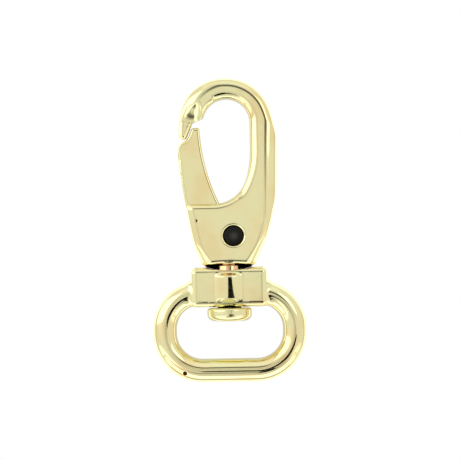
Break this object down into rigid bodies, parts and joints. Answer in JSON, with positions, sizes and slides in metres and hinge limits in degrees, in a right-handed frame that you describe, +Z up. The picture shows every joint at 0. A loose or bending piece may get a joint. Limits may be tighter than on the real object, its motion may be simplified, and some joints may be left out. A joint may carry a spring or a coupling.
{
  "type": "swivel snap hook",
  "caption": "Polished gold-plated snap hook with a sprung push gate, a swivel rivet and a rounded strap loop.",
  "frame": {"origin": "centre of the hook's seat arc, on the swivel axis, midway between front and back faces", "axes": "+Z up along the swivel axis from loop to hook, +X towards the spine and away from the gate, front face looks along -Y"},
  "size_m": [0.0278, 0.008, 0.0547],
  "materials": {
    "gold_plate": "pale gold plating, mirror polished, over a zinc die casting",
    "black_oxide_steel": "black oxide",
    "spring_steel": "bright drawn wire"
  },
  "bodies": {
    "hook": {"hook_body": "gold_plate", "gate_pin": "black_oxide_steel", "swivel_rivet": "gold_plate", "gate_spring": "spring_steel"},
    "gate": {"gate": "gold_plate"},
    "loop": {"loop": "gold_plate"}
  },
  "joints": [
    {"name": "gate_pivot", "type": "hinge", "parent": "hook", "child": "gate", "pos_m": [0.00093, 0, -0.02026], "axis": [0, 1, 0], "range_deg": [0, 24.5], "stiffness_Nm_per_rad": 0.038, "springref_deg": -16.04, "deforming": ["gate_spring"]},
    {"name": "swivel", "type": "hinge", "parent": "hook", "child": "loop", "pos_m": [0, 0, -0.0296], "axis": [0, 0, 1], "continuous": true}
  ]
}
